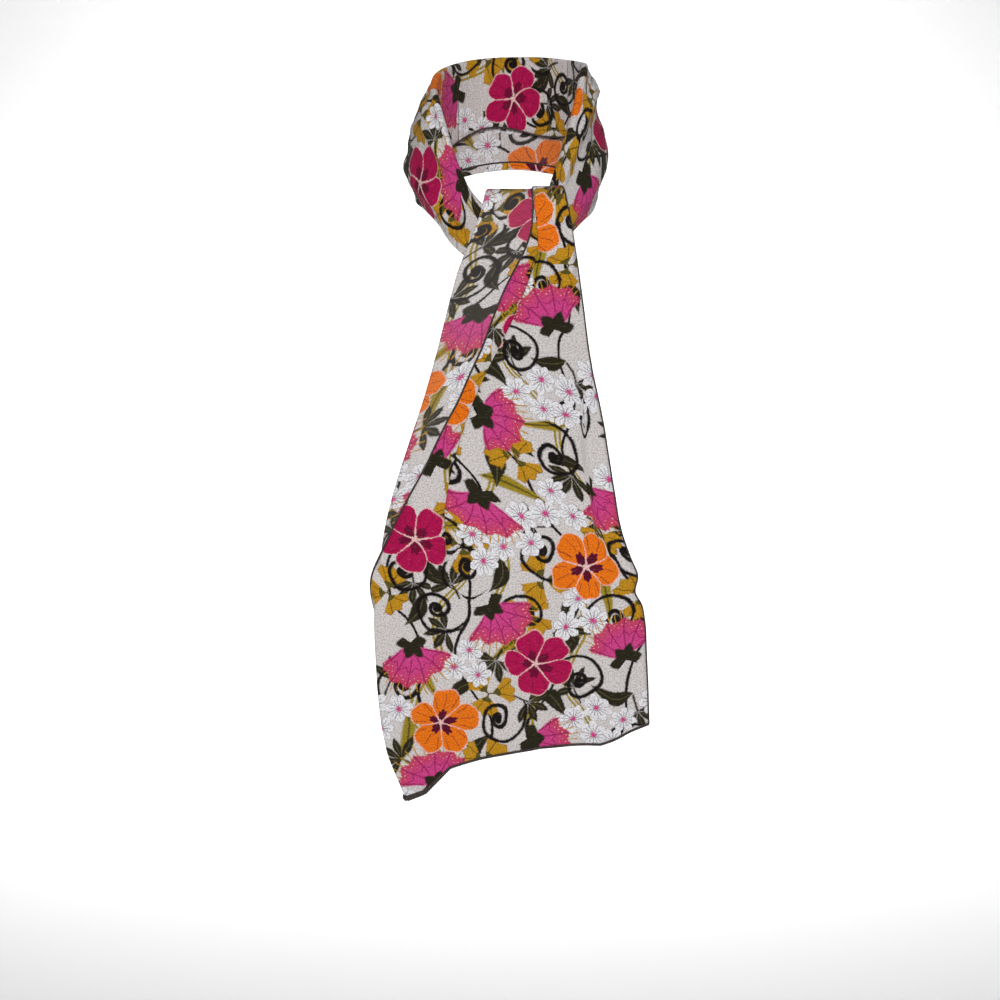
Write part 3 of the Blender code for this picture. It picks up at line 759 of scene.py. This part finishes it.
# Under tail.  The right side of the band goes down behind the crossing, turns on edge and
# hangs as a narrow folded strip that the front tail hides.
UNDER_ROWS = [
    round_neck(327, 19.5, -24, 24.0, -26, 24.0, -34, 26.0, -41, 24.5, -48.5),
    LoopRow(34.0, -61.8, -36, 352, 8, 0.7, 13, 4.4, 11, 4.2, 3, 5.6, -6, 4.4, -14),
    LoopRow(27.0, -61.8, -43, 360, 24, 0.7, 14, 4.4, 12, 4.2, 3, 5.6, -7, 4.4, -15),
    LoopRow(19.0, -61.8, -60, 360, 50, 0.7, 16, 4.4, 14, 4.2, 4, 5.6, -8, 4.4, -17),
    LoopRow(13.5, -61.8, -80, 360, 72, 0.7, 18, 4.4, 16, 4.2, 4, 5.6, -8, 4.4, -18),
    LoopRow(11.0, -64.5, -101, 360, 86, 0.7, 22, 4.2, 20, 4.0, 5, 5.0, -9, 4.2, -21),
    LoopRow(9.0, -80.5, -128, 360, 90, 0.7, 33, 3.8, 31, 3.8, 8, 4.4, -14, 3.8, -32),
    LoopRow(8.0, -97.0, -160, 360, 90, 0.7, 43, 3.6, 41, 3.6, 10, 4.0, -18, 3.6, -42),
    LoopRow(6.0, -109.5, -205, 360, 90, 0.7, 47, 3.4, 45, 3.6, 12, 3.8, -20, 3.4, -46),
    LoopRow(5.0, -120.5, -260, 360, 90, 0.7, 48, 3.4, 46, 3.6, 12, 3.6, -20, 3.4, -47),
    LoopRow(5.0, -122.0, -325, 360, 90, 0.7, 48, 3.4, 46, 3.6, 12, 3.6, -20, 3.4, -47),
    LoopRow(5.0, -120.0, -392, 360, 90, 0.7, 48, 3.4, 46, 3.6, 12, 3.6, -20, 3.4, -47),
]
UNDER_GATHERS = [
    Gather(0.4, 9.0, 0.30, 0.42, 2.4, -0.6),
    Gather(1.0, 10.5, 0.62, 0.58, 3.0, 0.6),
]
under_places = np.linspace(0, len(UNDER_ROWS) - 1, 150)
under_surface, under_print = band_grid(UNDER_ROWS, under_places, UNDER_GATHERS)
under_print += (0.0, band_print[-1, 0, 1])
under_normals = grid_normals(under_surface)
under_tail = knit_piece("under_tail", under_surface, under_normals, under_print, printed_knit)

# Front tail.  The longer end comes up behind the crossing, folds over it and fans out down
# the chest.  Its left edge is folded over to the front as a flap, and a lengthwise pleat
# lets the right panel lie over the base.  Its hem slopes, and hangs in soft flutes.
LAYER = 2.3            # from the middle of one layer of the fan to the middle of the next
BEND = LAYER / 2       # bend radius of a flat fold
LIP_Y = -69.0          # centre of the roll where the end folds over the crossing
LIP_Z = -27.0
LIP_RADIUS = 9.0
RISER_FOOT_Z = -72.0   # lowest point of the stretch behind the crossing
STATION_STEP = 2.4     # from one section of the tail to the next

# side: -1 behind the crossing, 0 on top of the lip, 1 in front.  left: the left fold.  flap,
# curl: length of the raw-edged flap folded over to the front, and how far it is turned.
# panel: the soft fold edge of the right panel.  tuck, turn: length and turning of the layer
# hidden under that edge.  right: the right raw edge.  bow: how far the middle stands in
# front of the edges.  slant: share of the hem's slope.
TailRow = namedtuple("TailRow", "side z left flap curl panel tuck turn right bow slant")
TAIL_ROWS = [
    TailRow(-1, RISER_FOOT_Z, -2, 10.5, 180, 11, 10, 180, 26.4, 0, 0),
    TailRow(-1, -50, -4, 13, 180, 12, 11, 180, 26.4, 0, 0),
    TailRow(-1, -35, -7, 17.5, 180, 13, 11, 180, 27, 0, 0),
    TailRow(-1, LIP_Z, -11, 23.5, 180, 15, 12, 180, 29, 0, 0),
    TailRow(0, LIP_Z, -17, 32.5, 180, 18, 17, 180, 39.5, 0, 0),
    TailRow(1, LIP_Z, -19.5, 36, 180, 19, 19, 180, 43.4, 0, 0),
    TailRow(1, -45, -25.5, 41, 180, 21.3, 20, 180, 46.9, 1, 0),
    TailRow(1, -60, -32, 42.5, 180, 22, 21, 180, 49.2, 1.5, 0),
    TailRow(1, -75, -38, 40.5, 180, 17.8, 24, 180, 51.5, 2, 0),
    TailRow(1, -90, -42.3, 37, 180, 12, 25, 180, 53.5, 2.5, 0),
    TailRow(1, -110, -47.4, 34, 180, 4, 24, 180, 56.2, 3.5, 0),
    TailRow(1, -130, -52.6, 32, 180, -6.5, 22, 180, 58.6, 4.5, 0.02),
    TailRow(1, -150, -58.4, 28, 180, -17, 20, 180, 62, 5.5, 0.05),
    TailRow(1, -170, -65, 25.5, 180, -26.5, 17, 180, 66.6, 6.5, 0.1),
    TailRow(1, -190, -72.6, 21, 180, -34.5, 14, 180, 70.6, 7.5, 0.15),
    TailRow(1, -210, -80.2, 17.5, 180, -40.5, 10.5, 180, 73.6, 8, 0.2),
    TailRow(1, -230, -87, 11, 180, -45.5, 7, 178, 76.6, 8, 0.27),
    TailRow(1, -245, -91.4, 6, 176, -49, 4.6, 160, 79, 7.5, 0.33),
    TailRow(1, -257, -94, 4.4, 130, -51.5, 3.6, 115, 80.6, 7, 0.38),
    TailRow(1, -269, -95.6, 4, 70, -53.5, 3.2, 70, 83, 6.5, 0.43),
    TailRow(1, -282, -98.6, 4, 10, -55, 3, 35, 86.6, 6, 0.5),
    TailRow(1, -297, -100.5, 4, -60, -56, 3, 18, 91.4, 5, 0.57),
    TailRow(1, -311, -101, 4, -120, -56, 3, 8, 97, 4, 0.65),
    TailRow(1, -323, -100.8, 4, -140, -56, 3, 0, 92.4, 3.5, 0.7),
    TailRow(1, -335, -100.2, 4, -140, -56, 3, 0, 99.4, 3, 0.75),
    TailRow(1, -355, -99.2, 4, -140, -56, 3, 0, 102, 2, 0.85),
    TailRow(1, -380, -96.8, 4, -140, -56, 3, 0, 103, 1, 0.92),
    TailRow(1, -405, -91.8, 4, -130, -54, 3, 0, 104.4, 0, 0.97),
    TailRow(1, -437, -78.5, 4, -90, -50, 3, 0, 105.6, 0, 1),
]
# Side view of the innermost layer in front of the crossing: height and depth.
FALL_HEIGHTS = [-440, -400, -350, -300, -250, -200, -150, -100, -60, -40, LIP_Z]
FALL_DEPTHS = [-126, -128, -130.5, -131, -128, -118.5, -104.5, -89.5, -81, -78.6,
               LIP_Y - LIP_RADIUS]
# The hem's slope: how far it rises above its middle, across the tail.
HEM_ACROSS = [-77, -64, -45, -20, 5, 24, 69, 92, 106]
HEM_RISE = [-35, -30, -12, -4.5, 1.5, 5, 6.5, 17.5, 23]
# Soft flutes of the lower tail: place across, width, depth at the hem.
Flute = namedtuple("Flute", "across width depth")
FLUTES = [Flute(-70, 16, 2.4), Flute(-28, 20, -2.2), Flute(14, 22, 2.6), Flute(52, 15, -2.4),
          Flute(80, 9, 3.4)]
# Creases of the tail, from one point of the front view to another: width, and depth below
# zero for a trough.
Crease = namedtuple("Crease", "x z to_x to_z width depth")
TAIL_CREASES = [
    Crease(8, -60, -38, -160, 5, -0.9),
    Crease(32, -45, 40, -150, 5, -0.9),
    Crease(30, -120, 22, -230, 7, 0.9),
    Crease(47, -60, 56, -130, 4, 0.8),
    Crease(-66, -190, -78, -290, 6, 0.9),
    Crease(-30, -200, -44, -330, 8, -1.0),
    Crease(2, -230, -6, -360, 9, 1.0),
    Crease(40, -240, 34, -350, 8, -0.9),
    Crease(78, -285, 79, -385, 3.5, -1.6),
    Crease(66, -330, 98, -322, 3.5, -1.3),
    Crease(74, -340, 100, -345, 4, 1.0),
    Crease(60, -300, 90, -306, 4, 0.8),
    Crease(-90, -330, -40, -350, 6, -0.7),
    Crease(-84, -380, -20, -372, 6, 0.7),
    Crease(-10, -300, 50, -290, 7, -0.5),
    Crease(-20, -400, 60, -395, 7, -0.6),
]

# Second pleat, in the right panel: the line of its fold edge, from which the cloth goes on
# one layer lower and the print goes on past what the pleat hides.
PLEAT_HEIGHTS = [-310, -290, -270, -250, -230, -210, -190, -170, -150]
PLEAT_ACROSS = [78, 75, 67, 61.9, 59, 55.7, 55.3, 54, 45.6]
PLEAT_HIDES = [0, 7, 13, 16, 17, 17, 15, 9, 0]
PLEAT_DEPTH = 1.7
PLEAT_WIDTH = 1.4


def soften(values, passes=5):
    """Values averaged with their neighbours a few times, with both ends kept."""
    for _ in range(passes):
        values = values.copy()
        values[1:-1] = 0.25 * values[:-2] + 0.5 * values[1:-1] + 0.25 * values[2:]
    return values


def tail_stations():
    """Side view (y, z) of the tail's innermost layer at each section, with its outward
    direction and the section's row of measures: up the riser, half a turn over the lip and
    down the fall."""
    riser_z = np.arange(RISER_FOOT_Z, LIP_Z, STATION_STEP)
    turn = np.linspace(0, np.pi, 15)
    fall_z = np.linspace(LIP_Z, TAIL_ROWS[-1].z, 172)[1:]
    depth = soften(np.interp(fall_z, FALL_HEIGHTS, FALL_DEPTHS), 12)
    points = np.concatenate([
        np.column_stack([np.full(len(riser_z), LIP_Y + LIP_RADIUS), riser_z]),
        np.column_stack([LIP_Y + LIP_RADIUS * np.cos(turn), LIP_Z + LIP_RADIUS * np.sin(turn)]),
        np.column_stack([depth, fall_z]),
    ])
    ahead = np.gradient(points, axis=0)
    ahead /= np.linalg.norm(ahead, axis=1, keepdims=True)
    outward = np.column_stack([ahead[:, 1], -ahead[:, 0]])

    table = np.array(TAIL_ROWS, dtype=float)
    in_front = int((table[:, 0] < 1).sum())
    places = np.concatenate([
        np.interp(riser_z, table[:in_front - 1, 1], np.arange(in_front - 1)),
        np.interp(turn, [0, np.pi], [in_front - 2, in_front]),
        np.interp(-fall_z, -table[in_front:, 1], np.arange(in_front, len(table))),
    ])
    measures = np.column_stack([np.interp(places, np.arange(len(table)), c) for c in table.T])
    return points, outward, TailRow(*soften(measures).T)


def bends(turn, count=7):
    """Bends that start at the origin along +across and turn outward, as arcs of a circle.
    Below a right angle a bend's length stays, so that a fold opens into a gentle curve."""
    share = np.linspace(0, 1, count)
    turned = turn[:, None] * share
    length = BEND * np.maximum(np.abs(turn), np.pi / 2)[:, None]
    across = length * share * np.sinc(turned / np.pi)
    out = length * share * 0.5 * turned * np.sinc(turned / (2 * np.pi)) ** 2
    return np.stack([across, out], axis=2)


def tail_sections(row):
    """Open lines across the tail in (across, out): flap, left fold, base layer, hidden tuck
    and right panel.  Also gives the number of the base layer's first point."""
    flat = np.zeros_like(row.left)
    curl = np.radians(row.curl)
    fold_start = np.column_stack([row.left + BEND, flat])[:, None]
    curve = bends(curl)[:, ::-1] * (-1, 1) + fold_start
    flap_way = np.column_stack([-np.cos(curl), np.sin(curl)]) * row.flap[:, None]
    flap = curve[:, :1] + flap_way[:, None] * np.linspace(1, 0, 31)[:-1, None]

    turn = np.radians(row.turn)
    hinge = row.panel + row.tuck + BEND
    share = np.linspace(0, 1, 52)[1:-1, None]
    hinge_point = np.column_stack([hinge, flat])[:, None]
    base = fold_start * (1 - share) + hinge_point * share
    first_bend = bends(turn) + hinge_point
    tuck_way = np.column_stack([np.cos(turn), np.sin(turn)]) * row.tuck[:, None]
    tuck_end = first_bend[:, -1:] + tuck_way[:, None]
    share = np.linspace(0, 1, 14)[1:-1, None]
    tuck = first_bend[:, -1:] * (1 - share) + tuck_end * share
    second_bend = tuck_end + first_bend[:, -1:] - first_bend[:, ::-1]
    start = second_bend[:, -1]
    across = start[:, :1] + np.linspace(0, 1, 41)[1:] * (row.right - start[:, 0])[:, None]
    level = start[:, :1] + row.tuck[:, None] + 4.0
    ease = np.clip((across - level) / np.maximum(row.right[:, None] - level, 1.0), 0, 1)
    ease = ease * ease * (3 - 2 * ease)
    panel = np.stack([across, start[:, 1:] * (1 - 0.8 * ease)], axis=2)
    lines = np.concatenate([flap, curve, base, first_bend, tuck, second_bend, panel], axis=1)
    return lines, flap.shape[1] + curve.shape[1]


def tail_grid():
    """Middle surface of the front tail in millimetres, with the print's place on it."""
    points, outward, row = tail_stations()
    lines, base_start = tail_sections(row)
    across = lines[:, :, 0]
    middle = 0.5 * (row.left + row.right)[:, None]
    half = 0.5 * (row.right - row.left)[:, None]
    height = np.broadcast_to(points[:, 1:], across.shape)
    relief = row.bow[:, None] * (1 - ((across - middle) / half) ** 2)
    for flute in FLUTES:
        swell = np.exp(-(((across - flute.across) / flute.width) ** 2))
        relief += row.slant[:, None] * flute.depth * swell
    in_front = (points[:, :1] < LIP_Y - 0.9 * LIP_RADIUS) * 1.0
    for crease in TAIL_CREASES:
        way_x, way_z = crease.to_x - crease.x, crease.to_z - crease.z
        length = math.hypot(way_x, way_z)
        off_x, off_z = across - crease.x, height - crease.z
        along = np.clip((off_x * way_x + off_z * way_z) / length**2, 0, 1)
        off = (off_x * way_z - off_z * way_x) / length / crease.width
        relief += in_front * crease.depth * np.sin(np.pi * along) * np.exp(-off * off)
    fold_line = np.interp(points[:, 1:], PLEAT_HEIGHTS, PLEAT_ACROSS)
    hidden = np.interp(points[:, 1:], PLEAT_HEIGHTS, PLEAT_HIDES, left=0, right=0)
    hidden = in_front * hidden * np.clip((across - fold_line) / PLEAT_WIDTH + 0.5, 0, 1)
    relief -= PLEAT_DEPTH * np.clip(hidden / 9.0, 0, 1)
    out = lines[:, :, 1] + relief
    rise = row.slant[:, None] * np.interp(across, HEM_ACROSS, HEM_RISE)
    grid = np.stack([
        across,
        points[:, :1] + outward[:, :1] * out,
        points[:, 1:] + outward[:, 1:] * out + rise,
    ], axis=2)

    width = run_length(lines, 1)
    u = width - width[:, base_start:base_start + 1] + row.left[:, None] + FACE_MIDDLE + hidden
    v = rise - run_length(points[:, None], 0)
    return grid, np.stack([u, v], axis=2)


tail_surface, tail_print = tail_grid()
tail_normals = grid_normals(tail_surface)
front_tail = knit_piece("front_tail", tail_surface, tail_normals, tail_print, printed_knit)

# Edging.  Every raw edge of the strip is rolled over and overlocked in a dark taupe thread,
# which stands out as a thin cord along both long edges and a thicker one along the hems.
EDGE_RADIUS = 0.75
HEM_EDGE_RADIUS = 1.15
HEM_CORNER_RADIUS = 2.3
THREAD_PITCH = 1.9     # from one loop of the overlocking to the next
EDGE_STEP = 0.55       # from one ring of the edging to the next
EDGE_SIDES = 10
TAUPE = srgb("3A322F")
TAUPE_PALE = srgb("6B5F58")


def edge_cord(line, way, radius):
    """Points and faces of a round cord along a line: rings about it, swollen along a helix
    where the thread goes round, and closed at both ends."""
    length = run_length(line, 0)
    places = np.linspace(0, length[-1], max(int(length[-1] / EDGE_STEP), 8))
    line = np.column_stack([np.interp(places, length, c) for c in line.T])
    way = np.column_stack([np.interp(places, length, c) for c in way.T])
    radius = np.interp(places, length, radius)
    ahead = np.gradient(line, axis=0)
    aside = np.cross(ahead, way)
    aside /= np.linalg.norm(aside, axis=1, keepdims=True)
    outward = np.cross(aside, ahead)
    outward /= np.linalg.norm(outward, axis=1, keepdims=True)
    angle = np.linspace(0, 2 * np.pi, EDGE_SIDES, endpoint=False)
    swell = 1 + 0.12 * np.sin(2 * np.pi * places[:, None] / THREAD_PITCH + angle)
    ring = np.cos(angle)[:, None] * outward[:, None] + np.sin(angle)[:, None] * aside[:, None]
    points = line[:, None] + ring * (swell * radius[:, None])[:, :, None]
    number = np.arange(len(places) * EDGE_SIDES).reshape(len(places), EDGE_SIDES)
    onward = np.roll(number, -1, axis=1)
    faces = np.stack([number[:-1], onward[:-1], onward[1:], number[1:]], axis=2).reshape(-1, 4)
    caps = [number[0, ::-1].tolist(), number[-1].tolist()]
    return points.reshape(-1, 3), faces.tolist() + caps


def overlock_thread():
    """Dark thread: mottled taupe with fine strands in its bump."""
    material = bpy.data.materials.new("overlock_thread")
    material.use_nodes = True
    Ink.tree = material.node_tree
    shader = Ink.tree.nodes["Principled BSDF"]
    place = Ink.node("ShaderNodeTexCoord", {}, 3)
    mottle = Ink.node("ShaderNodeTexNoise", {"Vector": place, "Scale": 600.0, "Detail": 3.0})
    strand = Ink.node("ShaderNodeTexNoise", {"Vector": place, "Scale": 2400.0, "Detail": 2.0})
    colour = painted(TAUPE, ((mottle - 0.5) * 2.4).maths("ADD", 0.0, clamp=True), TAUPE_PALE)
    bump = Ink.node("ShaderNodeBump", {"Height": strand, "Distance": 0.2 * MM, "Strength": 0.7})
    Ink.tree.links.new(colour.socket, shader.inputs["Base Color"])
    Ink.tree.links.new((0.7 + mottle * 0.25).socket, shader.inputs["Roughness"])
    Ink.tree.links.new(bump.socket, shader.inputs["Normal"])
    shader.inputs["Specular IOR Level"].default_value = 0.3
    return material


dark_thread = overlock_thread()


def edging(name, *cords):
    """The edging of one stretch: one mesh of several cords."""
    points, faces, count = [], [], 0
    for cord_points, cord_faces in cords:
        points.append(cord_points)
        faces += [[corner + count for corner in face] for face in cord_faces]
        count += len(cord_points)
    mesh = bpy.data.meshes.new(name)
    mesh.from_pydata(np.concatenate(points) * MM, [], faces)
    mesh.shade_smooth()
    mesh.materials.append(dark_thread)
    piece = bpy.data.objects.new(name, mesh)
    bpy.context.scene.collection.objects.link(piece)
    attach(piece, "root")
    return piece


def long_edges(grid, normals):
    """Cords along both long edges of a stretch."""
    radius = np.full(len(grid), EDGE_RADIUS)
    return [edge_cord(grid[:, side], normals[:, side], radius) for side in (0, -1)]


def hem_edge(grid, normals, radius):
    """Cord along the last section of a stretch."""
    return edge_cord(grid[-1], normals[-1], radius)


def band_edging(name, first_row, last_row):
    part = slice(first_row * STATIONS_PER_ROW, last_row * STATIONS_PER_ROW + 1)
    return edging(name, *long_edges(band_surface[part], band_normals[part]))


corner = np.clip((-42.0 - tail_surface[-1, :, 0]) / 30.0, 0, 1)
tail_hem_radius = HEM_EDGE_RADIUS + (HEM_CORNER_RADIUS - HEM_EDGE_RADIUS) * corner
tail_edging = edging("front_tail_edging", *long_edges(tail_surface, tail_normals),
                     hem_edge(tail_surface, tail_normals, tail_hem_radius))
under_hem_radius = np.full(under_surface.shape[1], HEM_EDGE_RADIUS)
under_edging = edging("under_tail_edging", *long_edges(under_surface, under_normals),
                      hem_edge(under_surface, under_normals, under_hem_radius))
wrap_edging = band_edging("wrap_edging", 0, WRAP_END)
left_edging = band_edging("neck_left_edging", WRAP_END, LEFT_END)
back_edging = band_edging("neck_back_edging", LEFT_END, BACK_END)
right_edging = band_edging("neck_right_edging", BACK_END, BAND_END)
